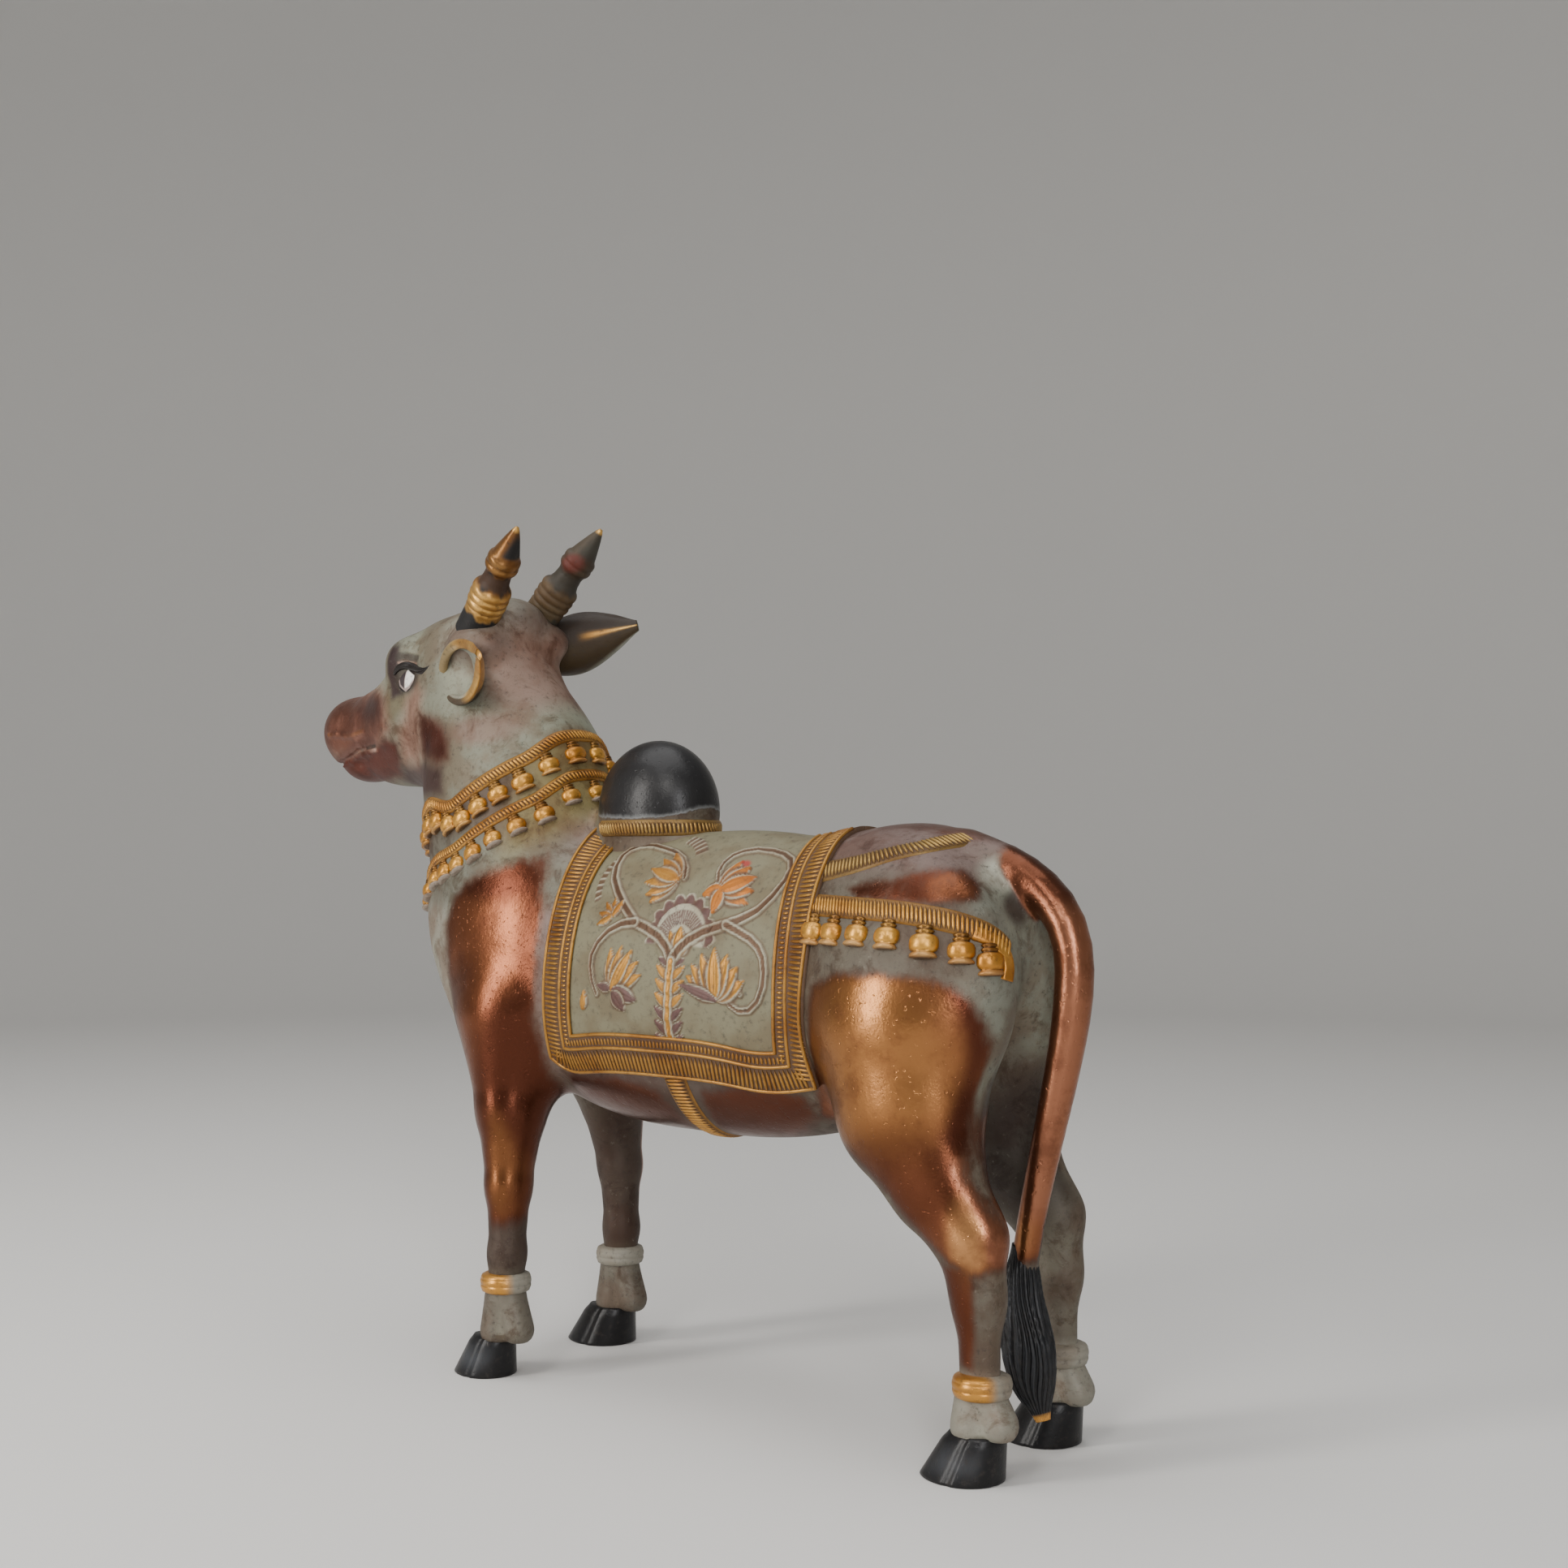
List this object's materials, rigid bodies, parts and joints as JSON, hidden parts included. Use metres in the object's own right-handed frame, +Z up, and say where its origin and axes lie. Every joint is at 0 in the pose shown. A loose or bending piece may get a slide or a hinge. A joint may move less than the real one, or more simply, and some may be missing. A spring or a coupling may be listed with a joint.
{
  "type": "nandi statue",
  "caption": "Standing humped temple bull, cast whole in brass, with ringed horns, cupped ears, long tail and low-relief collars, saddle cloth, straps and bells.",
  "frame": {"origin": "middle of the length and width, on the plane the four hooves stand on", "axes": "+X from muzzle to tail, +Z up, -Y the bull's left side"},
  "size_m": [0.5304, 0.1272, 0.455],
  "materials": {
    "patinated_brass": "hollow cast brass, copper-brown polish on the high places, grey-green patina in the hollows, golden relief, black paint on hump, hooves and tuft"
  },
  "bodies": {
    "root": {"nandi_bull": "patinated_brass"}
  },
  "joints": []
}
